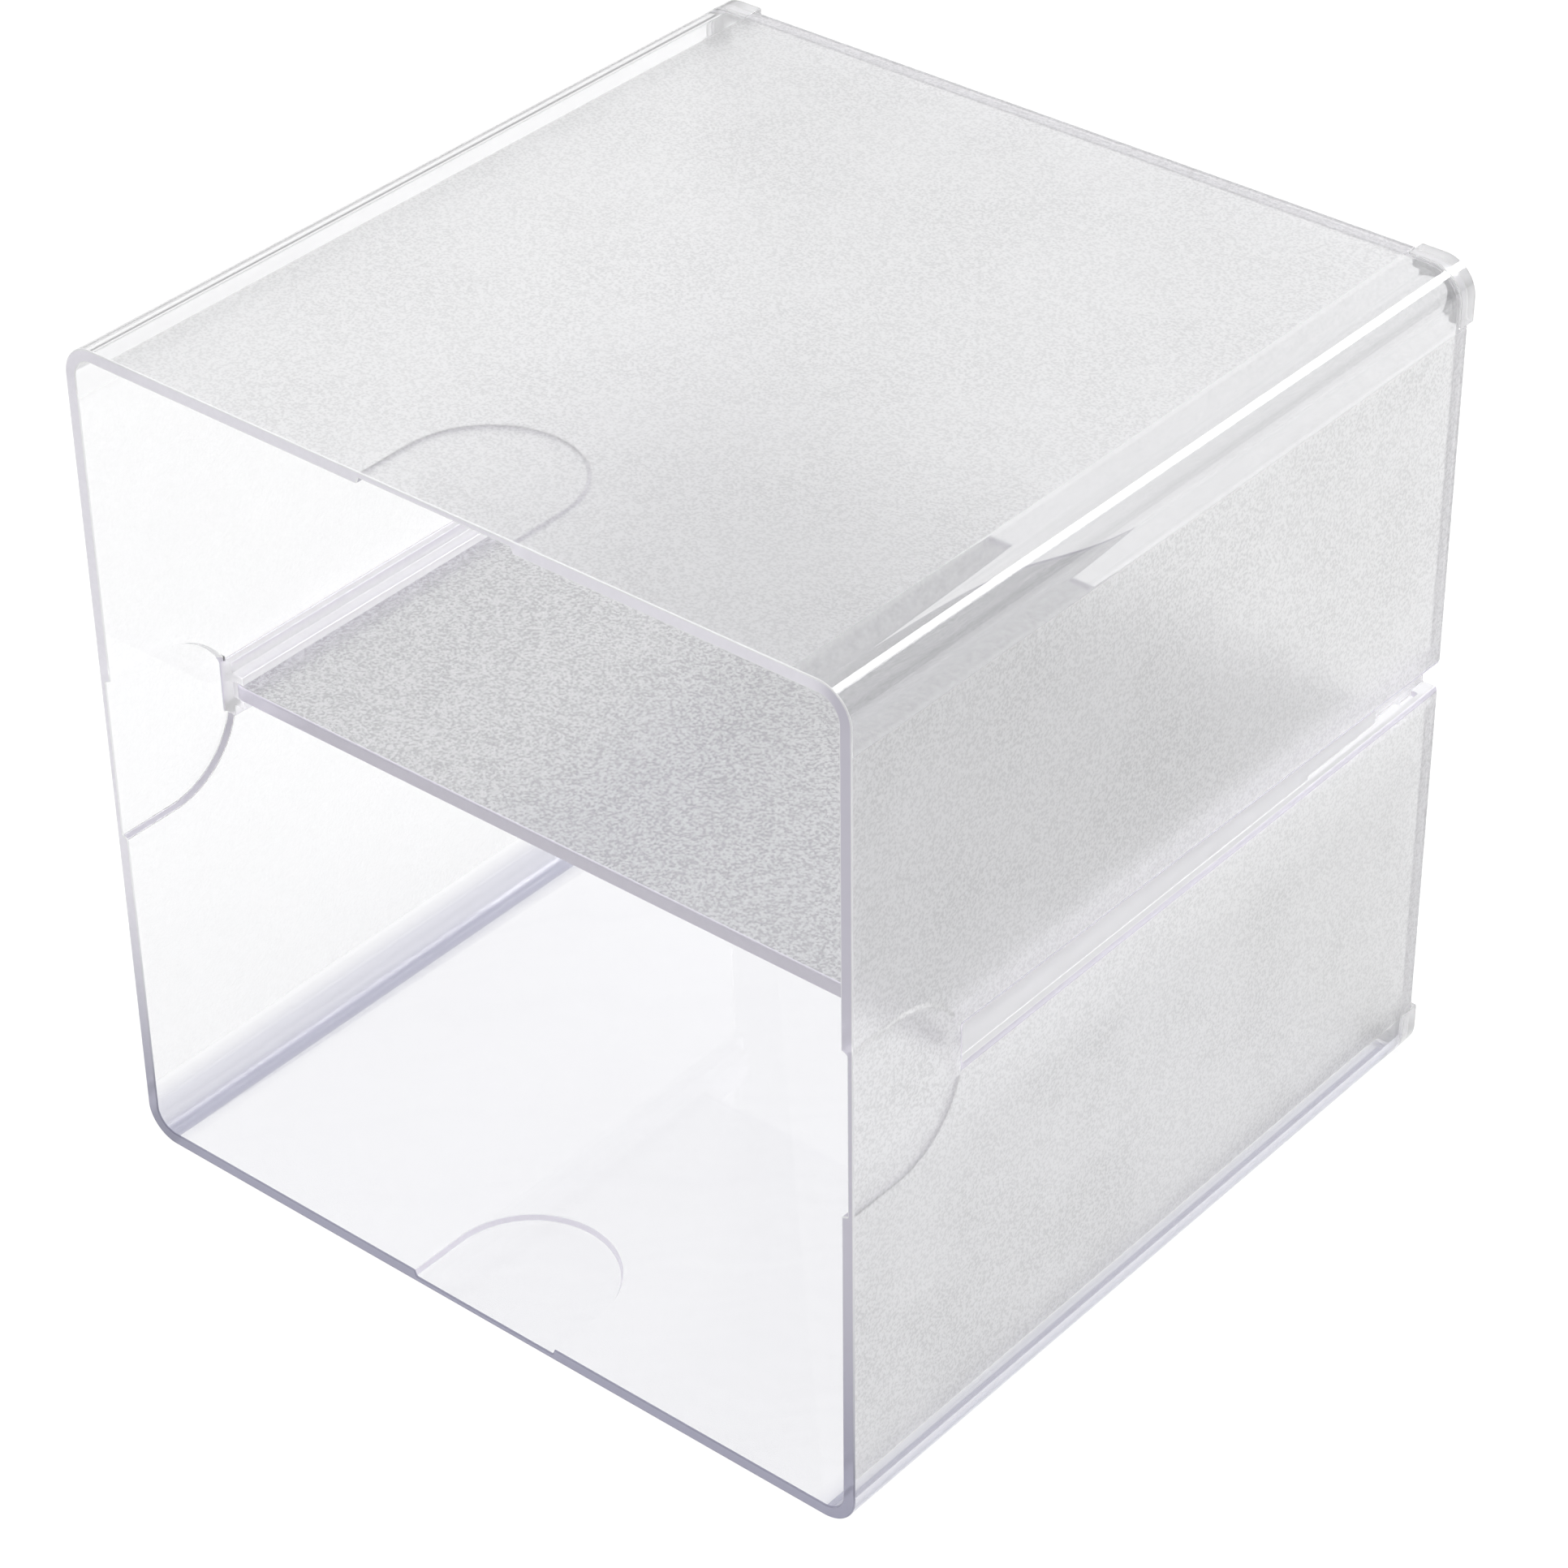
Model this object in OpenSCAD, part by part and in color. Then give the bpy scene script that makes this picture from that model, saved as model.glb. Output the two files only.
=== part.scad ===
// Stackable desk organizer: an open-fronted clear cube with one removable shelf.
// +Z is up, the open front faces -Y, and the origin is at the bottom centre of the whole.

/* [Cube sleeve] */
// Outside width and height of the cube
cube_size = 152.4; // [120:0.1:200]
// Depth of the four-walled sleeve, front rim to rear edge
sleeve_d = 149.2; // [130:0.1:200]
// Thickness of the four walls
wall_t = 2.2; // [2:0.1:4]
// Outside radius of the four long corners
corner_r = 6; // [4:0.1:10]

/* [Finger recesses] */
// Width of the U-shaped recess in the front edge of each wall
recess_w = 30.4; // [20:0.1:40]
// How far the recess runs back from the front rim
recess_len = 26; // [20:0.1:32]
// How deep the recess is cut into the inner face
recess_cut = 1.1; // [0.5:0.1:1.5]

/* [Side rails] */
// Height of the middle of the rails and of the shelf above the table
rail_z = 78; // [60:0.1:90]
// Distance of the outer groove's closed end behind the front rim
groove_setback = 25.5; // [20:0.1:40]
// Height of the groove in the outer face at its closed end
groove_front_h = 7.2; // [5:0.1:9]
// Height of the groove where it runs out at the rear edge
groove_rear_h = 4.4; // [3:0.1:7]
// Depth of the groove along the front of the shelf
groove_depth = 1.6; // [1:0.1:2]
// Depth of the groove along the rear of the shelf
groove_mid_depth = 2.1; // [1.5:0.1:2.4]
// Depth of the groove behind the shelf
groove_end_depth = 2.8; // [2.2:0.1:3]
// Distance behind the front rim where the groove first deepens
groove_step = 115; // [60:0.5:125]
// Thickness of the web behind the groove
web_t = 1.6; // [1.2:0.1:2.4]
// How far the two lips stand inward of the web, which is the depth of the shelf slot
lip_len = 2.4; // [1.5:0.1:4]
// Thickness of each lip
lip_t = 1.6; // [1.2:0.1:2.4]
// Length of the solid stop behind the shelf, measured from the back panel
stop_len = 12.6; // [10:0.1:20]

/* [Divider shelf] */
// Thickness of the shelf
shelf_t = 2.7; // [2:0.1:3.5]
// Distance of the shelf's front edge behind the front rim
shelf_setback = 24; // [20:0.1:40]
// Running clearance above, below and beside the shelf's edges
shelf_gap = 0.2; // [0.1:0.05:0.5]
// Radius of the shelf's corners
shelf_r = 2; // [1:0.1:6]

/* [Back panel] */
// Thickness of the back panel
panel_t = 2; // [1.5:0.1:3]
// Depth of the rebate in the sleeve that holds the panel's edge
panel_rebate = 0.6; // [0.4:0.1:1]
// Assembly gap around the bonded pieces
bond_gap = 0.1; // [0.05:0.05:0.2]

/* [Corner clips] */
// Length of each leg of the L-shaped corner clip
clip_leg = 10.2; // [8:0.1:16]
// Length of the lip that lies over the end of the sleeve
clip_lip = 2.3; // [1.5:0.1:6]
// Depth of the rebate that the lip lies in
clip_rebate = 0.9; // [0.5:0.1:1.1]
// Thickness of the flange that covers the rear edge
clip_flange = 1.7; // [1:0.1:3]
// Width of the flange, from the outside face inward
clip_flange_w = 4.5; // [3:0.1:8]

/* [Hidden] */
$fn = 64;
// Overshoot of a cutter beyond the face that it opens
cut = 1;
// Thickness of the wall that closes the groove's front end
end_t = 1.2;
// Blind latch pocket in the lower side of each outer groove, measured back from the stop
pocket_front = 6.5;
pocket_len = 4.5;
pocket_w = 1.3;
pocket_depth = 1;

half = cube_size / 2;
overall_d = sleeve_d + clip_flange;
front_y = -overall_d / 2;
rear_y = front_y + sleeve_d;
panel_y = rear_y - panel_t;
stop_y = panel_y - stop_len;
groove_y = front_y + groove_setback;
rail_y = groove_y - end_t;
recess_r = recess_w / 2;
inner_half = half - wall_t;
// Distances from the cube's middle to the web's inner face and to the lips' tips
web_x = half - groove_mid_depth - web_t;
lip_x = web_x - lip_len;
slot_h = shelf_t + 2 * shelf_gap;
web_h = groove_front_h + 2 * web_t;
lips_h = slot_h + 2 * lip_t;
shelf_half_w = web_x - shelf_gap;
shelf_y = front_y + shelf_setback;
shelf_len = stop_y - shelf_gap - shelf_y;

clear_color = [0.86, 0.87, 0.90, 0.45];
edge_color = [0.78, 0.77, 0.86, 0.75];
shelf_color = [0.83, 0.82, 0.89, 0.60];

// Cube's outline moved inward by an inset, standing on the table
module outline(inset) {
    r = corner_r - inset;
    side = cube_size - 2 * inset;
    translate([-side / 2 + r, inset]) square([side - 2 * r, side]);
    translate([-side / 2, inset + r]) square([side, side - 2 * r]);
    for (x = [-1, 1], z = [inset + r, cube_size - inset - r]) {
        translate([x * (side / 2 - r), z]) circle(r);
    }
}

// Upright outline carried from one depth to another
module along_depth(from, to) {
    translate([0, to, 0]) rotate([90, 0, 0]) linear_extrude(to - from) children();
}

// Rectangle given by its low corner and its high corner
module area(low, high) {
    translate(low) square(high - low);
}

// Band that follows one outer corner, its legs as long as the clip's
module corner_band(inset, band_w) {
    intersection() {
        difference() {
            outline(inset);
            outline(inset + band_w);
        }
        area([half - clip_leg, cube_size - clip_leg], [half + cut, cube_size + cut]);
    }
}

// U-shaped cutter for the recess inside the top wall
module finger_recess() {
    inner_z = cube_size - wall_t;
    straight_y = front_y + recess_len - recess_r;
    translate([0, 0, inner_z - cut]) linear_extrude(cut + recess_cut) {
        area([-recess_r, front_y - cut], [recess_r, straight_y]);
        translate([0, straight_y]) circle(recess_r);
    }
}

// Four plain walls, open at both ends, with a recess inside each front edge
module sleeve_tube() {
    difference() {
        along_depth(front_y, rear_y) difference() {
            outline(0);
            outline(wall_t);
        }
        for (turn = [0 : 90 : 270]) {
            translate([0, 0, half]) rotate([0, turn, 0]) translate([0, 0, -half]) finger_recess();
        }
    }
}

// Web that backs the right side's outer groove, from inside the cube into its wall
module web_section() {
    area([web_x, rail_z - web_h / 2], [inner_half + recess_cut + bond_gap, rail_z + web_h / 2]);
}

// Right side's rail: the web runs to the rear edge, the lips only to the back panel
module rail_body() {
    along_depth(rail_y, rear_y) web_section();
    along_depth(rail_y, panel_y - bond_gap)
        area([lip_x, rail_z - lips_h / 2], [web_x + bond_gap, rail_z + lips_h / 2]);
}

// Half the groove's height at a depth y, on one straight line from end to end
function groove_half(y) =
    let (share = (y - groove_y) / (rear_y - groove_y))
    (groove_front_h + (groove_rear_h - groove_front_h) * share) / 2;

// Side view of the right side's groove, which tapers towards the rear
module groove_taper() {
    from = groove_y - cut;
    to = rear_y + 2 * cut;
    translate([lip_x, 0, rail_z]) rotate([90, 0, 90]) linear_extrude(half + 2 * cut - lip_x)
        polygon([
            [from, -groove_half(from)],
            [to, -groove_half(to)],
            [to, groove_half(to)],
            [from, groove_half(from)]
        ]);
}

// Top view of the same groove, which deepens in two steps towards the rear
module groove_plan() {
    step_y = front_y + groove_step;
    translate([0, 0, rail_z - groove_front_h]) linear_extrude(2 * groove_front_h) {
        area([half - groove_depth, groove_y], [half + cut, rear_y + cut]);
        area([half - groove_mid_depth, step_y], [half + cut, rear_y + cut]);
        area([half - groove_end_depth, stop_y], [half + cut, rear_y + cut]);
    }
}

// Latch pocket sunk into the groove's lower side, against the groove's floor
module latch_pocket() {
    floor_x = half - groove_end_depth;
    low_z = rail_z - groove_rear_h / 2 - pocket_depth;
    along_depth(stop_y + pocket_front, stop_y + pocket_front + pocket_len)
        area([floor_x, low_z], [floor_x + pocket_w, rail_z]);
}

// Outer groove, latch pocket and shelf slot of the right side's rail
module rail_cuts() {
    intersection() {
        groove_taper();
        groove_plan();
    }
    latch_pocket();
    along_depth(rail_y - cut, stop_y)
        area([lip_x - cut, rail_z - slot_h / 2], [web_x, rail_z + slot_h / 2]);
}

module cube_sleeve() {
    color(clear_color)
    difference() {
        union() {
            sleeve_tube();
            rail_body();
            mirror([1, 0, 0]) rail_body();
        }
        rail_cuts();
        mirror([1, 0, 0]) rail_cuts();
        // Rebate for the panel's edge, left uncut where the webs pass
        along_depth(panel_y, rear_y + cut) difference() {
            outline(wall_t - panel_rebate);
            web_section();
            mirror([1, 0, 0]) web_section();
        }
        for (x = [0, 1], z = [0, 1]) {
            at_corner(x, z) along_depth(rear_y - clip_lip, rear_y + cut)
                corner_band(-cut, cut + clip_rebate);
        }
    }
}

module back_panel() {
    color(clear_color)
    along_depth(panel_y + bond_gap, rear_y) difference() {
        outline(wall_t - panel_rebate + bond_gap);
        panel_notch();
        mirror([1, 0, 0]) panel_notch();
    }
}

// Opening in the panel's right edge that fits round the web
module panel_notch() {
    reach = web_h / 2 + bond_gap;
    area([web_x - bond_gap, rail_z - reach], [half, rail_z + reach]);
}

// Carries a shape from the top right corner to the left side, the bottom or both
module at_corner(to_left, to_bottom) {
    translate([0, 0, half]) mirror([0, 0, to_bottom]) translate([0, 0, -half])
        mirror([to_left, 0, 0]) children();
}

// L-shaped collar: a lip over the sleeve's outside and a flange over its rear edge
module corner_clip(to_left, to_bottom) {
    color(edge_color) at_corner(to_left, to_bottom) {
        along_depth(rear_y - clip_lip + bond_gap, rear_y + clip_flange)
            corner_band(0, clip_rebate - bond_gap);
        along_depth(rear_y, rear_y + clip_flange) corner_band(0, clip_flange_w);
    }
}

module corner_clip_top_left() { corner_clip(1, 0); }
module corner_clip_top_right() { corner_clip(0, 0); }
module corner_clip_bottom_left() { corner_clip(1, 1); }
module corner_clip_bottom_right() { corner_clip(0, 1); }

module divider_shelf() {
    r = shelf_r;
    inner_w = shelf_half_w - r;
    color(shelf_color) translate([0, shelf_y, rail_z - shelf_t / 2]) linear_extrude(shelf_t) {
        area([-shelf_half_w, r], [shelf_half_w, shelf_len - r]);
        area([-inner_w, 0], [inner_w, shelf_len]);
        for (x = [-inner_w, inner_w], y = [r, shelf_len - r]) translate([x, y]) circle(r);
    }
}

cube_sleeve();
back_panel();
corner_clip_top_left();
corner_clip_top_right();
corner_clip_bottom_left();
corner_clip_bottom_right();
divider_shelf();
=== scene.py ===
import math

import bmesh
import bpy
from mathutils import Matrix, Vector


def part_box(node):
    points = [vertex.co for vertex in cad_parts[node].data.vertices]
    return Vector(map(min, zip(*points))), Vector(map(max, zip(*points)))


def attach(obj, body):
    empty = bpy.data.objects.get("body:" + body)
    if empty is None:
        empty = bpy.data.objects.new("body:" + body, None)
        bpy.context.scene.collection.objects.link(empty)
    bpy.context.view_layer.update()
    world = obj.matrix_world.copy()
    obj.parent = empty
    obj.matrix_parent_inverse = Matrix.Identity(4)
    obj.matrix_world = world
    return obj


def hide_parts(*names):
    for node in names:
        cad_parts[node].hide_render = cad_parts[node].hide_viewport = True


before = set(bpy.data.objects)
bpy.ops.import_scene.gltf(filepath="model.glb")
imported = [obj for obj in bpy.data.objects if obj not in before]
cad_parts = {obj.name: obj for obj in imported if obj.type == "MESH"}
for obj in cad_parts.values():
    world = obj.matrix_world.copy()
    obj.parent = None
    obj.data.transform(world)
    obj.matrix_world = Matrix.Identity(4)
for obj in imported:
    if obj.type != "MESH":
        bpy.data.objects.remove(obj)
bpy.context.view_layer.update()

MM = 0.001
CORNER_STEPS = 24
ARC_STEPS = 48
OVERSHOOT = 2 * MM
MERGE = 0.002 * MM

# Where the CAD pieces are
SLEEVE_LOW, SLEEVE_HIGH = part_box("cube_sleeve")
PANEL_LOW, PANEL_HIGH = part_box("back_panel")
CLIP_LOW, CLIP_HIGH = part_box("corner_clip_top_right")
SHELF_LOW, SHELF_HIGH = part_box("divider_shelf")
HALF = SLEEVE_HIGH.x
HEIGHT = SLEEVE_HIGH.z
MIDDLE_Z = HEIGHT / 2
FRONT = SLEEVE_LOW.y
REAR = SLEEVE_HIGH.y
RAIL_Z = (SHELF_LOW.z + SHELF_HIGH.z) / 2

# Section of the walls and the finger recess in each front edge
WALL = 2.2 * MM
CORNER_R = 6 * MM
RECESS_R = 15.2 * MM
RECESS_LEN = 26 * MM
RECESS_CUT = 1.1 * MM
RECESS_DRAFT = 0.4

# Clearance round the shelf, and round the bonded pieces
SHELF_GAP = 0.2 * MM
GAP = 0.1 * MM

# Outer groove: its ends, its half heights there, and (depth, where that depth starts)
GROOVE_FRONT = FRONT + 25.5 * MM
GROOVE_FRONT_HALF = 3.6 * MM
GROOVE_REAR_HALF = 2.2 * MM
GROOVE_DEEPEST = 2.8 * MM
STOP_FRONT = SHELF_HIGH.y + SHELF_GAP
GROOVE_DEPTHS = (
    (1.6 * MM, GROOVE_FRONT), (2.1 * MM, FRONT + 115 * MM), (GROOVE_DEEPEST, STOP_FRONT),
)
MOUTH_DEPTH = 0.3 * MM
MOUTH_W = 0.8 * MM
POCKET_FRONT = STOP_FRONT + 6.5 * MM
POCKET_LEN = 4.5 * MM
POCKET_W = 1.3 * MM
POCKET_DEPTH = 1 * MM

# Rail inside each side wall: the web, and the two lips that hold the shelf
RAIL_T = 1.6 * MM
RAIL_FRONT = GROOVE_FRONT - 1.2 * MM
WEB_X = SHELF_HIGH.x + SHELF_GAP
WEB_HALF = GROOVE_FRONT_HALF + RAIL_T
LIP_X = WEB_X - 2.4 * MM
SLOT_HALF = SHELF_HIGH.z - RAIL_Z + SHELF_GAP
LIPS_HALF = SLOT_HALF + RAIL_T

# Rebates for the panel's edge and for the clips' lips
PANEL_REBATE = 0.6 * MM
CLIP_REBATE = 0.9 * MM
CLIP_LEG = CLIP_HIGH.x - CLIP_LOW.x
CLIP_FLANGE_W = 4.5 * MM

# Shelf's corners, seen from above, and the roundings of the moulded edges
SHELF_CORNER_R = 2 * MM
SHELF_CORNER_STEPS = 12
SLEEVE_ROUND = 0.22 * MM
PANEL_ROUND = 0.15 * MM
CLIP_ROUND = 0.2 * MM
SHELF_ROUND = 0.35 * MM


def link(obj):
    bpy.context.scene.collection.objects.link(obj)
    return obj


def new_mesh(name, verts, faces):
    """Closed mesh object from corner points and faces, with its normals outward."""
    mesh = bpy.data.meshes.new(name)
    mesh.from_pydata(verts, [], faces)
    bm = bmesh.new()
    bm.from_mesh(mesh)
    bmesh.ops.recalc_face_normals(bm, faces=bm.faces)
    bm.to_mesh(mesh)
    bm.free()
    return link(bpy.data.objects.new(name, mesh))


def between(name, low_ring, high_ring):
    """Solid between two rings of as many points, each ring closed by one face."""
    n = len(low_ring)
    sides = [(i, (i + 1) % n, n + (i + 1) % n, n + i) for i in range(n)]
    caps = [tuple(range(n)), tuple(range(n, 2 * n))]
    return new_mesh(name, low_ring + high_ring, sides + caps)


def prism(name, outline, y0, y1):
    """Solid with an upright outline of (x, z) points, from depth y0 to y1."""
    return between(name, [(x, y0, z) for x, z in outline], [(x, y1, z) for x, z in outline])


def block(name, low, high):
    """Square-cornered cutter, given by two opposite corners."""
    outline = [(low[0], low[2]), (high[0], low[2]), (high[0], high[2]), (low[0], high[2])]
    return prism(name, outline, low[1], high[1])


def arc(cx, cy, r, start, turn, steps):
    """Points of an arc, its start and its turn in degrees."""
    angles = [math.radians(start + turn * i / steps) for i in range(steps + 1)]
    return [(cx + r * math.cos(a), cy + r * math.sin(a)) for a in angles]


def rounded_square(inset):
    """Points (x, z) round the cube's section, moved inward by an inset."""
    r = CORNER_R - inset
    reach = HALF - inset - r
    points = []
    for start, sx, sz in ((0, 1, 1), (90, -1, 1), (180, -1, -1), (270, 1, -1)):
        points += arc(sx * reach, MIDDLE_Z + sz * reach, r, start, 90, CORNER_STEPS)
    return points


def corner_band(outer, inner, leg):
    """Points (x, z) of an L-shaped band round the top right corner, between two insets."""
    outside = arc(
        HALF - CORNER_R, HEIGHT - CORNER_R, CORNER_R - outer, 0, 90, CORNER_STEPS)
    inside = arc(
        HALF - CORNER_R, HEIGHT - CORNER_R, CORNER_R - inner, 90, -90, CORNER_STEPS)
    low_x, low_z = HALF - leg, HEIGHT - leg
    start = [(HALF - inner, low_z), (HALF - outer, low_z)]
    turn = [(low_x, HEIGHT - outer), (low_x, HEIGHT - inner)]
    return start + outside + turn + inside


def apply_modifier(obj, kind, **settings):
    """Adds a modifier to an object and makes its result the mesh."""
    modifier = obj.modifiers.new(kind.lower(), kind)
    for key, value in settings.items():
        setattr(modifier, key, value)
    with bpy.context.temp_override(object=obj, active_object=obj):
        bpy.ops.object.modifier_apply(modifier=modifier.name)
    return obj


def combine(obj, tool, operation):
    """Boolean of obj with a tool, which is used up."""
    apply_modifier(obj, "BOOLEAN", operation=operation, solver="EXACT", object=tool)
    bpy.data.objects.remove(tool)
    return obj


def clean(obj):
    """Merges the doubled points and dissolves the flat seams that booleans leave."""
    bm = bmesh.new()
    bm.from_mesh(obj.data)
    bmesh.ops.remove_doubles(bm, verts=bm.verts, dist=MERGE)
    bmesh.ops.dissolve_limit(
        bm, angle_limit=math.radians(0.5), verts=bm.verts, edges=bm.edges)
    bm.to_mesh(obj.data)
    bm.free()
    return obj


def soften(obj, width):
    """Rounds every sharp edge and shades the rounding smoothly into the flat faces."""
    apply_modifier(
        obj, "BEVEL", width=width, segments=3, limit_method="ANGLE",
        angle_limit=math.radians(30), use_clamp_overlap=False, miter_outer="MITER_ARC",
    )
    for face in obj.data.polygons:
        face.use_smooth = True
    return apply_modifier(
        obj, "WEIGHTED_NORMAL", mode="FACE_AREA_WITH_ANGLE", weight=100, keep_sharp=True)


def mirror_tool(tool, to_left, to_bottom=0):
    """Carries a cutter made for the top right to another corner, its faces still outward."""
    if to_left:
        tool.data.transform(Matrix.Diagonal((-1, 1, 1, 1)))
    if to_bottom:
        flip = Matrix.Diagonal((1, 1, -1, 1))
        tool.data.transform(Matrix.Translation((0, 0, HEIGHT)) @ flip)
    if to_left != to_bottom:
        tool.data.flip_normals()
    return tool


def recess_cutter(turn):
    """U-shaped cutter with drafted sides for one finger recess; turn 0 is the top wall's."""
    rings = []
    for rise in (-OVERSHOOT, RECESS_CUT):
        r = RECESS_R - RECESS_DRAFT * rise
        outline = [(-r, -OVERSHOOT), (r, -OVERSHOOT)]
        outline += arc(0, RECESS_LEN - RECESS_R, r, 0, 180, ARC_STEPS)
        rings.append([(x, FRONT + y, HALF - WALL + rise) for x, y in outline])
    cutter = between("recess", *rings)
    spin = Matrix.Rotation(math.radians(90 * turn), 4, "Y")
    cutter.data.transform(Matrix.Translation((0, 0, MIDDLE_Z)) @ spin)
    return cutter


def groove_half(y):
    """Half the height of the groove, which tapers towards its open rear end."""
    share = (y - GROOVE_FRONT) / (REAR - GROOVE_FRONT)
    return GROOVE_FRONT_HALF + share * (GROOVE_REAR_HALF - GROOVE_FRONT_HALF)


def groove_cutter():
    """Right side's outer groove, which deepens in steps towards the rear."""
    end = REAR + OVERSHOOT
    plan = [(HALF + OVERSHOOT, end), (HALF + OVERSHOOT, GROOVE_FRONT)]
    for (depth, start), (_, stop) in zip(GROOVE_DEPTHS, GROOVE_DEPTHS[1:] + ((0, end),)):
        plan += [(HALF - depth, start), (HALF - depth, stop)]
    low = [(x, y, RAIL_Z - groove_half(y)) for x, y in plan]
    high = [(x, y, RAIL_Z + groove_half(y)) for x, y in plan]
    return between("groove", low, high)


def mouth_cutter():
    """Shallow flare round the mouth of the right groove."""
    rings = []
    for x, spread in ((HALF - MOUTH_DEPTH, 0), (HALF + MOUTH_DEPTH, 2 * MOUTH_W)):
        front, end = GROOVE_FRONT - spread, REAR + OVERSHOOT
        rings.append([
            (x, y, RAIL_Z + side * (groove_half(y) + spread))
            for y, side in ((front, -1), (end, -1), (end, 1), (front, 1))])
    return between("mouth", *rings)


def pocket_cutter():
    """Blind latch pocket in the lower side of the right groove's deep end."""
    x = HALF - GROOVE_DEEPEST
    low_z = RAIL_Z - GROOVE_REAR_HALF - POCKET_DEPTH
    return block(
        "pocket", (x, POCKET_FRONT, low_z), (x + POCKET_W, POCKET_FRONT + POCKET_LEN, RAIL_Z))


def rail_block(name, x0, x1, half_height, y0, y1):
    """Block centred on the right side's rail."""
    return block(name, (x0, y0, RAIL_Z - half_height), (x1, y1, RAIL_Z + half_height))


def make_sleeve():
    sleeve = prism("sleeve_body", rounded_square(0), FRONT, REAR)
    bore = prism("bore", rounded_square(WALL), FRONT - OVERSHOOT, REAR + OVERSHOOT)
    combine(sleeve, bore, "DIFFERENCE")
    rebate = prism(
        "rebate", rounded_square(WALL - PANEL_REBATE), PANEL_LOW.y - GAP, REAR + OVERSHOOT)
    combine(sleeve, rebate, "DIFFERENCE")
    for to_left, to_bottom in ((0, 0), (1, 0), (0, 1), (1, 1)):
        band = corner_band(-OVERSHOOT, CLIP_REBATE, CLIP_LEG)
        cutter = prism("clip_rebate", band, CLIP_LOW.y - GAP, REAR + OVERSHOOT)
        combine(sleeve, mirror_tool(cutter, to_left, to_bottom), "DIFFERENCE")
    for turn in range(4):
        combine(sleeve, recess_cutter(turn), "DIFFERENCE")
    for to_left in (0, 1):
        wall_x = HALF - WALL + RECESS_CUT + GAP
        rail = (
            (rail_block("web", WEB_X, wall_x, WEB_HALF, RAIL_FRONT, REAR), "UNION"),
            (rail_block("lips", LIP_X, WEB_X + GAP, LIPS_HALF, RAIL_FRONT,
                        PANEL_LOW.y - GAP), "UNION"),
            (groove_cutter(), "DIFFERENCE"),
            (mouth_cutter(), "DIFFERENCE"),
            (pocket_cutter(), "DIFFERENCE"),
            (rail_block("slot", LIP_X - OVERSHOOT, WEB_X, SLOT_HALF,
                        RAIL_FRONT - OVERSHOOT, STOP_FRONT), "DIFFERENCE"),
        )
        for tool, operation in rail:
            combine(sleeve, mirror_tool(tool, to_left), operation)
    clean(sleeve)
    return soften(sleeve, SLEEVE_ROUND)


def make_panel():
    outline = rounded_square(WALL - PANEL_REBATE + GAP)
    panel = prism("back_plate", outline, PANEL_LOW.y, PANEL_HIGH.y)
    for to_left in (0, 1):
        notch = rail_block("notch", WEB_X - GAP, HALF, WEB_HALF + GAP,
                           PANEL_LOW.y - OVERSHOOT, PANEL_HIGH.y + OVERSHOOT)
        combine(panel, mirror_tool(notch, to_left), "DIFFERENCE")
    clean(panel)
    return soften(panel, PANEL_ROUND)


def make_clip(name, to_left, to_bottom):
    clip = prism(name, corner_band(0, CLIP_FLANGE_W, CLIP_LEG), REAR, CLIP_HIGH.y)
    lip = prism("lip", corner_band(0, CLIP_REBATE - GAP, CLIP_LEG), CLIP_LOW.y, REAR + GAP)
    combine(clip, lip, "UNION")
    clean(mirror_tool(clip, to_left, to_bottom))
    return soften(clip, CLIP_ROUND)


def make_shelf():
    r = SHELF_CORNER_R
    x, low_y, high_y = SHELF_HIGH.x - r, SHELF_LOW.y + r, SHELF_HIGH.y - r
    plan = []
    for start, cx, cy in ((0, x, high_y), (90, -x, high_y), (180, -x, low_y), (270, x, low_y)):
        plan += arc(cx, cy, r, start, 90, SHELF_CORNER_STEPS)
    low = [(px, py, SHELF_LOW.z) for px, py in plan]
    high = [(px, py, SHELF_HIGH.z) for px, py in plan]
    return soften(between("shelf_plate", low, high), SHELF_ROUND)


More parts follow.
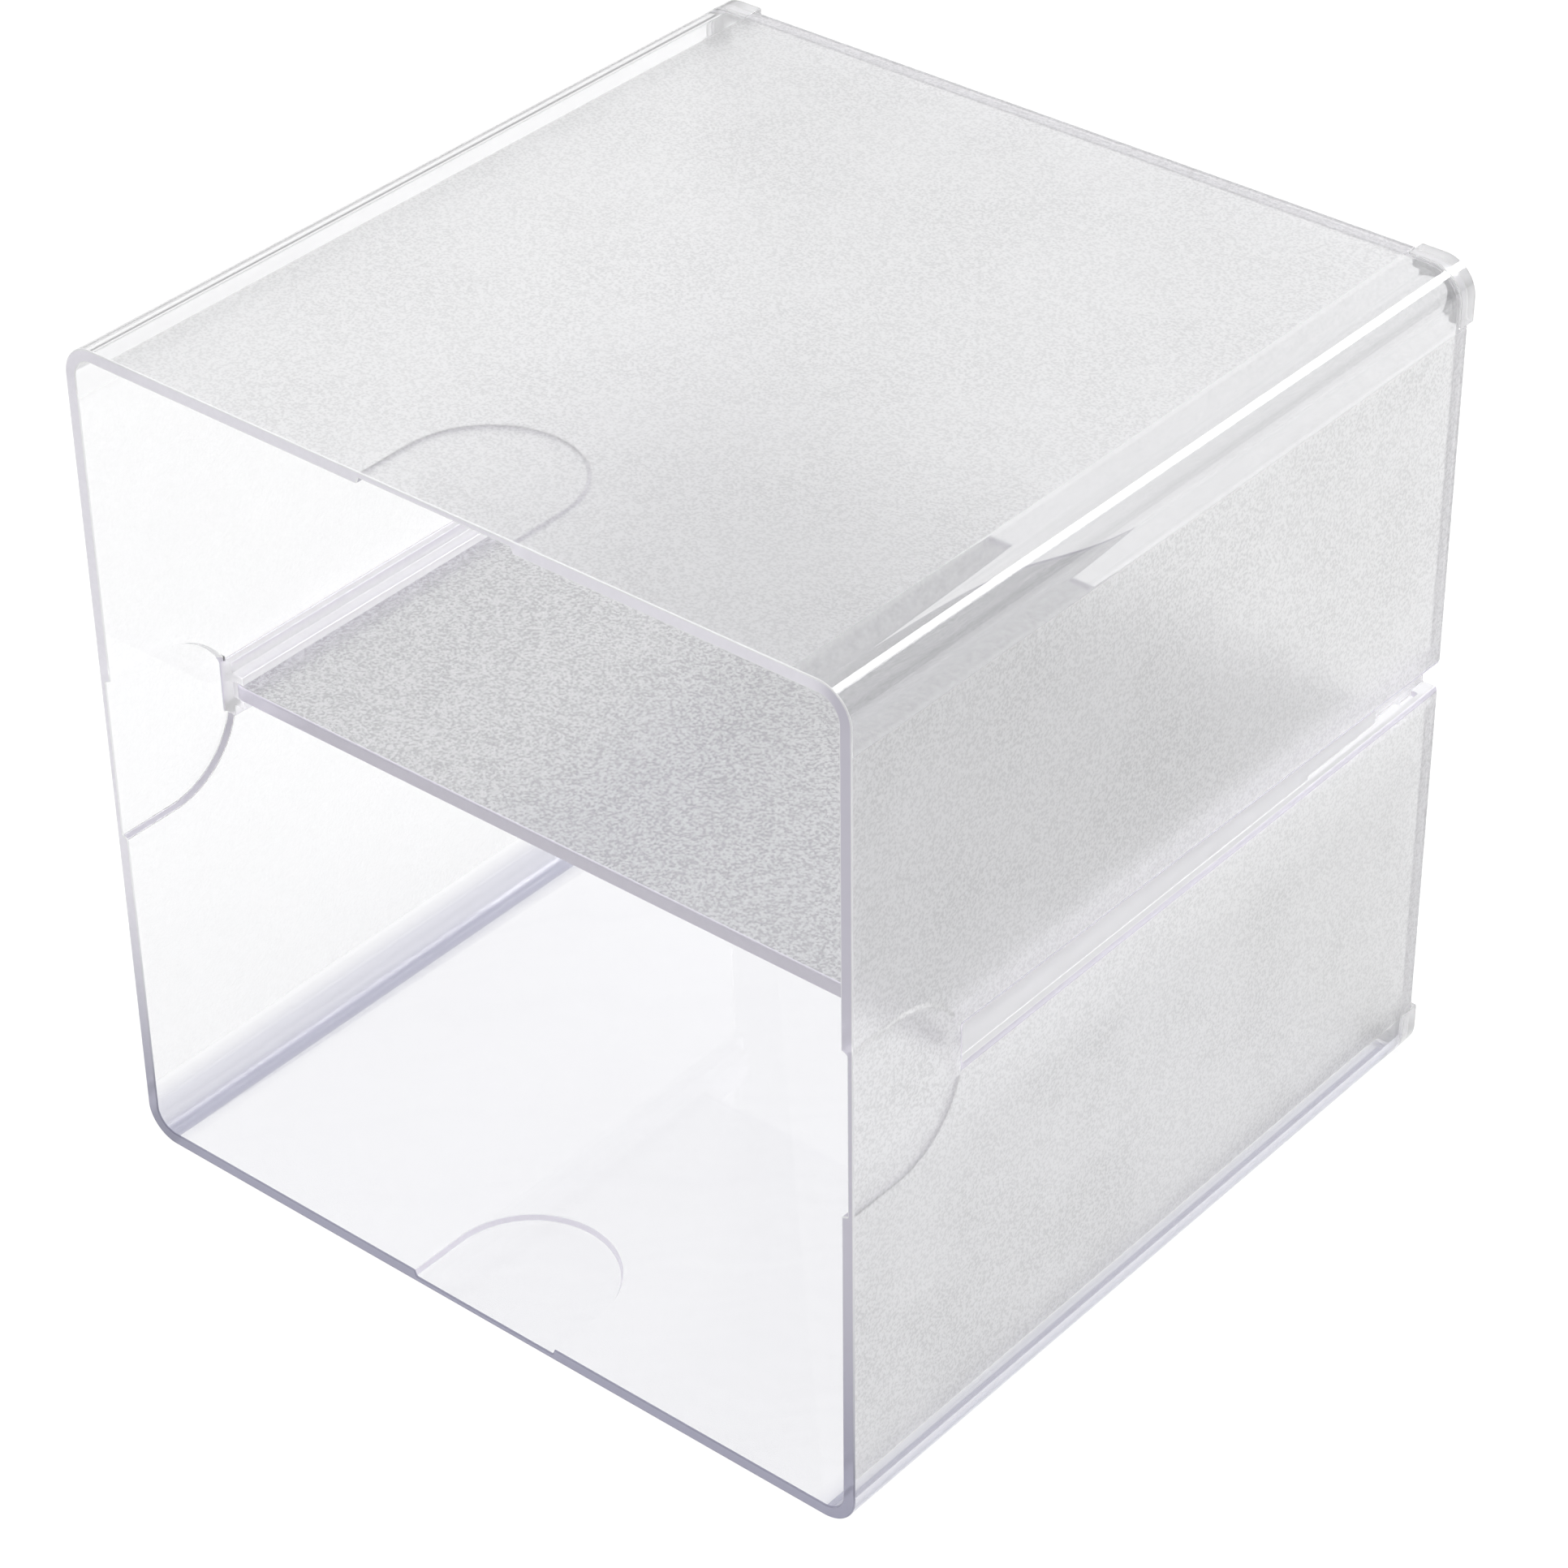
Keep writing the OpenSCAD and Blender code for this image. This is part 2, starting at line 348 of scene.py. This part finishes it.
class Nodes:
    """Short way to build one material's node tree."""

    def __init__(self, name):
        self.material = bpy.data.materials.new(name)
        self.material.use_nodes = True
        self.tree = self.material.node_tree
        self.bsdf = self.tree.nodes["Principled BSDF"]
        self.place = self.add("ShaderNodeTexCoord").outputs["Object"]

    def add(self, kind, **settings):
        node = self.tree.nodes.new(kind)
        for key, value in settings.items():
            setattr(node, key, value)
        return node

    def set(self, socket, value):
        """Links an output to a socket, or sets the socket's own value."""
        if isinstance(value, bpy.types.NodeSocket):
            self.tree.links.new(value, socket)
        else:
            socket.default_value = value

    def math(self, operation, *values):
        node = self.add("ShaderNodeMath", operation=operation)
        for socket, value in zip(node.inputs, values):
            self.set(socket, value)
        return node.outputs[0]

    def ramp(self, value, low, high, to_low=0.0, to_high=1.0):
        """Smooth step of a value, from low to high."""
        node = self.add("ShaderNodeMapRange", interpolation_type="SMOOTHSTEP")
        for socket, number in zip(node.inputs, (value, low, high, to_low, to_high)):
            self.set(socket, number)
        return node.outputs[0]

    def noise(self, size, detail=2.0, stretch=None):
        """Noise from 0 to 1 whose grains are about size across, in metres."""
        node = self.add("ShaderNodeTexNoise")
        node.inputs["Scale"].default_value = 1 / size
        node.inputs["Detail"].default_value = detail
        place = self.place
        if stretch:
            scale = self.add("ShaderNodeMapping")
            scale.inputs["Scale"].default_value = stretch
            self.set(scale.inputs["Vector"], place)
            place = scale.outputs[0]
        self.set(node.inputs["Vector"], place)
        return node.outputs[0]

    def mix(self, factor, first, second):
        """Mix of two colours."""
        node = self.add("ShaderNodeMix", data_type="RGBA")
        self.set(node.inputs[0], factor)
        for socket, value in zip((node.inputs[6], node.inputs[7]), (first, second)):
            self.set(socket, value if isinstance(value, bpy.types.NodeSocket) else (*value, 1))
        return node.outputs[2]

    def bump(self, height, depth, strength=1.0, normal=None):
        node = self.add("ShaderNodeBump")
        node.inputs["Distance"].default_value = depth
        self.set(node.inputs["Strength"], strength)
        self.set(node.inputs["Height"], height)
        if normal is not None:
            self.set(node.inputs["Normal"], normal)
        return node.outputs[0]

    def xyz(self):
        """The place as three outputs, in metres."""
        split = self.add("ShaderNodeSeparateXYZ")
        self.set(split.inputs[0], self.place)
        return split.outputs[0], split.outputs[1], split.outputs[2]

    def finish(self):
        """Lets lamps and bounced light pass straight through, so that the floor is lit."""
        clear = self.add("ShaderNodeBsdfTransparent")
        clear.inputs[0].default_value = (*PASSED, 1)
        rays = self.add("ShaderNodeLightPath")
        shader = self.bsdf.outputs[0]
        for name in ("Is Shadow Ray", "Is Diffuse Ray"):
            mixed = self.add("ShaderNodeMixShader")
            self.set(mixed.inputs[0], rays.outputs[name])
            self.set(mixed.inputs[1], shader)
            self.set(mixed.inputs[2], clear.outputs[0])
            shader = mixed.outputs[0]
        self.set(self.tree.nodes["Material Output"].inputs["Surface"], shader)
        return self.material


# What lamp light keeps at a face, the tint of clear polished faces, and the walls' transmission
STYRENE_IOR = 1.59
PASSED = (0.978, 0.978, 0.980)
CLEAR = (0.955, 0.955, 0.963)
SCATTERED = 0.95

# Frost: size of its grain, where it ends from the cube's middle, and how its mask fades under the skin
GRAIN = 0.46 * MM
FROST_END = (65.6 * MM, 66.2 * MM)
SKIN = (1.0 * MM, 0.6 * MM)
# Painted shade line in the round inside the top left corner: where it starts, across and up
ROUND_SHADE_X = (71.0 * MM, 71.6 * MM)
ROUND_SHADE_Z = (71.2 * MM, 71.8 * MM)


def glassy(nodes, colour, roughness, normal, transmission=1.0):
    """Clear plastic with the given colour, roughness and normal; returns the material."""
    nodes.set(nodes.bsdf.inputs["Base Color"], colour)
    nodes.set(nodes.bsdf.inputs["Roughness"], roughness)
    nodes.set(nodes.bsdf.inputs["Normal"], normal)
    nodes.bsdf.inputs["Transmission Weight"].default_value = transmission
    nodes.bsdf.inputs["IOR"].default_value = STYRENE_IOR
    return nodes.finish()


def frost_grain(
        nodes, frost, polished, dark=(0.68, 0.68, 0.685), light=(0.87, 0.87, 0.87), wave=None):
    """Colour, roughness and normal of a face that is frosted where frost is 1.

    The frost's own grain goes from its dark colour to its light one."""
    grain = nodes.noise(GRAIN)
    cloud = nodes.noise(22 * MM)
    milky = nodes.mix(nodes.ramp(grain, 0.36, 0.60), dark, light)
    milky = nodes.mix(nodes.ramp(cloud, 0.35, 0.65, 0.0, 0.2), milky, (0.93, 0.93, 0.935))
    colour = nodes.mix(frost, polished, milky)
    roughness = nodes.math("MULTIPLY_ADD", frost, 0.30, 0.03)
    normal = nodes.bump(nodes.math("MULTIPLY", grain, frost), 0.05 * MM, 1.0, wave)
    return colour, roughness, normal


def top_left_round_shade(n, x, y, z, across, up):
    """Mask of a painted shade line in the round inside the top left corner, less strong at the rear.
    """
    inside = n.ramp(n.math("MAXIMUM", across, up), HALF - 1.9 * MM, HALF - 2.1 * MM)
    turn = n.math("MULTIPLY", n.ramp(across, *ROUND_SHADE_X), n.ramp(up, *ROUND_SHADE_Z))
    quarter = n.math("MULTIPLY", n.ramp(x, 1 * MM, -1 * MM), n.ramp(z, 90 * MM, 100 * MM))
    fade = n.ramp(y, -70 * MM, 70 * MM, 0.42, 0.25)
    return n.math("MULTIPLY", n.math("MULTIPLY", inside, turn), n.math("MULTIPLY", quarter, fade))


def polished_tint(n, x, y, z, field, across, up):
    """Colour of the polished faces: clear inside, greyer on the corner strips; painted shade makes the
    right strips darker than the left, darkens the top left round, greys the bottom wall and darkens
    the bottom corner edges.
    """
    # Painted contact shade: dark along the bottom edges, fading out by 2.4 mm up.
    edge = n.mix(n.ramp(z, 0.4 * MM, 2.4 * MM), (0.26, 0.26, 0.36), (0.70, 0.70, 0.76))
    corner = n.ramp(across, HALF - 9 * MM, HALF - 5 * MM)
    # Painted shade at the bottom: the bottom wall greyer, its corners taking the dark edge.
    foot = n.mix(corner, (0.82, 0.82, 0.845), edge)
    # Painted side shade: the right corner strips darker than the left.
    strip = n.mix(n.ramp(x, -1 * MM, 1 * MM), (0.91, 0.91, 0.915), (0.80, 0.80, 0.81))
    # Painted shade: the top left round is darkened towards black along its mask
    strip = n.mix(top_left_round_shade(n, x, y, z, across, up), strip, (0.0, 0.0, 0.0))
    clear = n.mix(field, strip, CLEAR)
    return n.mix(n.ramp(z, 4 * MM, 11 * MM), foot, clear)


def frost_grain_and_side_shade(n, x, z):
    """Dark and light colours of the frost's grain, with painted light and shade by side: palest on the
    left wall as painted light, darker on the right as painted shade, darkest low on the right.
    """
    left = n.ramp(x, SKIN[0] - HALF, SKIN[1] - HALF)
    right = n.ramp(x, HALF - SKIN[0], HALF - SKIN[1])
    high = n.ramp(z, 58 * MM, 72 * MM)
    # Painted light and shade by side: the left wall's grain is paled almost to white, the right wall's
    # is darker, and darker still low down.
    dark = n.mix(left, (0.64, 0.64, 0.645), (0.94, 0.94, 0.94))
    dark = n.mix(right, dark, n.mix(high, (0.48, 0.48, 0.48), (0.57, 0.57, 0.57)))
    light = n.mix(left, (0.87, 0.87, 0.875), (1.0, 1.0, 1.0))
    light = n.mix(right, light, n.mix(high, (0.71, 0.71, 0.71), (0.84, 0.84, 0.84)))
    return dark, light


def frosted_styrene():
    """Clear walls: fine frost on the flat outer faces, polish on the corners, below and inside."""
    n = Nodes("frosted_styrene")
    x, y, z = n.xyz()
    across = n.math("ABSOLUTE", x)
    up = n.math("ABSOLUTE", n.math("SUBTRACT", z, MIDDLE_Z))
    field = n.ramp(n.math("MINIMUM", across, up), FROST_END[1], FROST_END[0])
    outer = n.ramp(n.math("MAXIMUM", across, up), HALF - SKIN[0], HALF - SKIN[1])
    above = n.ramp(z, 0.3 * MM, 0.8 * MM)
    frost = n.math("MULTIPLY", n.math("MULTIPLY", field, outer), above)
    wave = n.bump(n.noise(30 * MM, 1.0, (1.0, 0.15, 1.0)), 0.25 * MM, 0.5)
    # The polished tint and the frost's tints below hold painted light and shade.
    polished = polished_tint(n, x, y, z, field, across, up)
    dark, light = frost_grain_and_side_shade(n, x, z)
    return glassy(n, *frost_grain(n, frost, polished, dark, light, wave), SCATTERED)


def groove_styrene():
    """Floors of the outer grooves: an even satin, without the walls' grain."""
    n = Nodes("groove_styrene")
    cloud = n.noise(9 * MM, 2.0, (1.0, 0.3, 1.0))
    colour = n.mix(cloud, (0.72, 0.72, 0.735), (0.80, 0.80, 0.81))
    return glassy(n, colour, n.ramp(cloud, 0.3, 0.7, 0.42, 0.50), n.bump(cloud, 0.05 * MM), 0.6)


def panel_styrene():
    """Back panel: frosted outside, polished inside."""
    n = Nodes("panel_styrene")
    outside = n.ramp(n.xyz()[1], REAR - 0.3 * MM, REAR - 0.1 * MM)
    return glassy(n, *frost_grain(n, outside, CLEAR), SCATTERED)


def edge_styrene(name, colour, transmission, side=None, foot=None):
    """Edges seen end on, where the long way through the plastic gives it its lilac tint; its paler and
    darker copies are painted light and shade.

    Painted shade darkens the tint to side on the right wall and to foot towards the table."""
    n = Nodes(name)
    speck = n.noise(0.8 * MM)
    tint = n.mix(speck, tuple(0.95 * c for c in colour), tuple(1.03 * c for c in colour))
    if foot:
        x, _, z = n.xyz()
        # Painted shade: darker on the right wall and towards the table.
        tint = n.mix(n.ramp(x, HALF - 7 * MM, HALF - 2 * MM), tint, side)
        tint = n.mix(n.ramp(z, -8 * MM, 62 * MM), foot, tint)
    normal = n.bump(n.noise(6 * MM), 0.05 * MM, 0.5)
    return glassy(n, tint, n.ramp(speck, 0.2, 0.8, 0.14, 0.24), normal, transmission)


def clip_styrene():
    """Polished clear clips, with the faint flow marks of a small moulding."""
    n = Nodes("clip_styrene")
    flow = n.noise(2.5 * MM)
    colour = n.mix(flow, (0.80, 0.80, 0.81), (0.88, 0.88, 0.885))
    normal = n.bump(flow, 0.06 * MM, 0.6)
    return glassy(n, colour, n.ramp(flow, 0.3, 0.7, 0.04, 0.10), normal, 0.78)


def shelf_styrene():
    """Shelf plate: pebbled on top, with the pebbles' shade and highlights painted into its colour;
    smooth below.
    """
    n = Nodes("shelf_styrene")
    top = n.ramp(n.xyz()[2], SHELF_HIGH.z - 0.4 * MM, SHELF_HIGH.z - 0.1 * MM)
    pebble = n.noise(0.52 * MM)
    # Painted shade in the pebbles' hollows and painted highlight on their tops, following the same
    # noise as the bump.
    pebble_shading = n.mix(n.ramp(pebble, 0.38, 0.60), (0.33, 0.33, 0.34), (0.60, 0.60, 0.61))
    colour = n.mix(top, (0.90, 0.90, 0.915), pebble_shading)
    normal = n.bump(n.math("MULTIPLY", pebble, top), 0.07 * MM)
    return glassy(n, colour, n.ramp(top, 0.0, 1.0, 0.05, 0.26), normal)


def pale_floor():
    n = Nodes("pale_floor")
    n.set(n.bsdf.inputs["Base Color"], n.mix(
        n.noise(200 * MM), (0.90, 0.90, 0.90), (0.91, 0.91, 0.91)))
    n.bsdf.inputs["Roughness"].default_value = 0.9
    return n.material


# Order of the sleeve's materials, after the walls' own
# LEDGE and RECESS are lit and shaded copies of the edge plastic: LEDGE is pale, painted light; RECESS
# is the plastic's lilac darkened as painted shade.
RIM, RAIL, LEDGE, RECESS, GROOVE, SHOULDER = 1, 2, 3, 4, 5, 6


def sleeve_slot(face):
    """Material of one face of the sleeve, 0 being the walls'."""
    x, y, z = face.center
    if face.normal.y < -0.1 and y < FRONT + 0.25 * MM:
        return RIM if face.normal.y < -0.98 else SHOULDER
    depth, across = HALF - abs(x), abs(z - MIDDLE_Z)
    out = abs(face.normal.x)
    if y > PANEL_LOW.y - 0.4 * MM and max(abs(x), across) < HALF - 1.3 * MM:
        return RAIL
    by_rail = abs(z - RAIL_Z) < WEB_HALF + 0.3 * MM and y > RAIL_FRONT - 0.8 * MM
    if by_rail and depth > WALL + 0.05 * MM:
        return RAIL
    if by_rail and 0.02 * MM < depth < GROOVE_DEEPEST + 0.1 * MM:
        if out > 0.7 and depth > 1.4 * MM:
            return GROOVE
        # Lit and shaded copies of one plastic: the groove's deep lower faces, which face up, take
        # LEDGE as painted light; the rest take RECESS as painted shade.
        if out < 0.97:
            deep = depth > MOUTH_DEPTH + 0.15 * MM and z < RAIL_Z
            return LEDGE if deep and abs(face.normal.y) < 0.7 else RECESS
    on_side = abs(x) >= across
    if not on_side:
        depth, across, out = MIDDLE_Z - across, abs(x), abs(face.normal.z)
    in_recess = across < RECESS_R + 0.4 * MM and y < FRONT + RECESS_LEN + 0.4 * MM
    side = WALL - RECESS_CUT - 0.1 * MM < depth < WALL + 0.1 * MM and out < 0.7
    if not (in_recess and side):
        return 0
    # In the side recesses the faces that face down take LEDGE as painted light, the rest RECESS as
    # painted shade.
    return LEDGE if on_side and face.normal.z < -0.4 else RECESS


def panel_slot(face):
    """1 on the edges, otherwise 0."""
    return int(abs(face.normal.y) < 0.7)


def shelf_slot(face):
    """1 on the edges, otherwise 0."""
    return int(abs(face.normal.z) < 0.97)


def dress(piece, body, node, materials, pick=None):
    """Gives a piece its materials and its body, and hides the CAD node that it stands for."""
    piece.data.materials.clear()
    for material in materials:
        piece.data.materials.append(material)
    if pick:
        for face in piece.data.polygons:
            face.material_index = pick(face)
    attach(piece, body)
    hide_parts(node)


def make_organizer():
    # Rim and shoulder: their side and foot colours are painted shade, darker on the right wall and
    # towards the table.
    rim = edge_styrene(
        "rim_styrene", (0.86, 0.84, 0.91), 0.2, (0.57, 0.55, 0.64), (0.24, 0.24, 0.34))
    # The shoulder's pale colour is a painted highlight on the bevels beside the rim.
    shoulder = edge_styrene(
        "shoulder_highlight_styrene", (0.95, 0.95, 0.965), 0.3, (0.88, 0.88, 0.90), (0.16, 0.16, 0.25))
    # Ledge is a pale copy painted as light; recess is the lilac darkened as painted shade.
    ledge = edge_styrene("ledge_painted_light_styrene", (0.86, 0.86, 0.875), 0.4)
    recess = edge_styrene("recess_painted_shade_styrene", (0.68, 0.65, 0.75), 0.5)
    rail = edge_styrene("rail_styrene", (0.88, 0.87, 0.90), 0.7)
    shelf_edge = edge_styrene("shelf_edge_styrene", (0.76, 0.73, 0.83), 0.4)
    walls = (frosted_styrene(), rim, rail, ledge, recess, groove_styrene(), shoulder)
    dress(make_sleeve(), "cube", "cube_sleeve", walls, sleeve_slot)
    panel = (panel_styrene(), rail)
    dress(make_panel(), "cube", "back_panel", panel, panel_slot)
    clear = clip_styrene()
    for name, to_left, to_bottom in (
        ("top_left", 1, 0), ("top_right", 0, 0), ("bottom_left", 1, 1), ("bottom_right", 0, 1),
    ):
        clip = make_clip("clip_" + name, to_left, to_bottom)
        dress(clip, "cube", "corner_clip_" + name, [clear])
    plate = (shelf_styrene(), shelf_edge)
    dress(make_shelf(), "shelf", "divider_shelf", plate, shelf_slot)


def make_floor():
    mesh = bpy.data.meshes.new("floor")
    mesh.from_pydata([(-4, -4, 0), (4, -4, 0), (4, 4, 0), (-4, 4, 0)], [], [(0, 1, 2, 3)])
    mesh.materials.append(pale_floor())
    link(bpy.data.objects.new("floor", mesh))


def make_world(horizon, zenith):
    """Soft studio dome, darker towards the horizon."""
    world = bpy.data.worlds.new("studio")
    bpy.context.scene.world = world
    world.use_nodes = True
    nodes, links = world.node_tree.nodes, world.node_tree.links
    split = nodes.new("ShaderNodeSeparateXYZ")
    links.new(nodes.new("ShaderNodeTexCoord").outputs["Generated"], split.inputs[0])
    level = nodes.new("ShaderNodeMapRange")
    level.interpolation_type = "SMOOTHSTEP"
    for socket, number in zip(list(level.inputs)[1:5], (0.04, 0.36, horizon, zenith)):
        socket.default_value = number
    links.new(split.outputs[2], level.inputs[0])
    links.new(level.outputs[0], nodes["Background"].inputs["Strength"])
    nodes["Background"].inputs["Color"].default_value = (1, 1, 1, 1)


def softbox(name, azimuth, elevation, distance, size, radiance):
    """Area light aimed at the cube's middle; azimuth 0 is behind it, 90 is to its right."""
    light = bpy.data.lights.new(name, "AREA")
    light.shape = "RECTANGLE"
    light.size, light.size_y = size
    light.energy = radiance * math.pi * size[0] * size[1]
    obj = link(bpy.data.objects.new(name, light))
    a, e = math.radians(azimuth), math.radians(elevation)
    way = Vector((math.sin(a) * math.cos(e), math.cos(a) * math.cos(e), math.sin(e)))
    obj.location = Vector((0, 0, MIDDLE_Z)) + way * distance
    obj.rotation_euler = way.to_track_quat("Z", "Y").to_euler()
    obj.visible_camera = False


def make_camera():
    """Camera fitted to the photograph's straight edges."""
    data = bpy.data.cameras.new("camera")
    data.lens = 108.95
    data.sensor_width = 36
    data.shift_x = 0.0450
    data.shift_y = 0.0304
    camera = link(bpy.data.objects.new("camera", data))
    camera.location = (0.40643, -0.47970, 0.50337)
    camera.rotation_euler = [math.radians(a) for a in (54.447, 1.138, 40.487)]
    bpy.context.scene.camera = camera


make_organizer()
make_floor()
make_world(horizon=0.2, zenith=0.92)
softbox("key", azimuth=22, elevation=44, distance=1.2, size=(0.26, 0.80), radiance=9)
softbox("fill", azimuth=-100, elevation=50, distance=1.4, size=(0.7, 0.5), radiance=2.6)
softbox("veil", azimuth=-35, elevation=36, distance=1.4, size=(1.1, 0.9), radiance=0.16)
make_camera()
bpy.context.scene.view_settings.view_transform = "Standard"
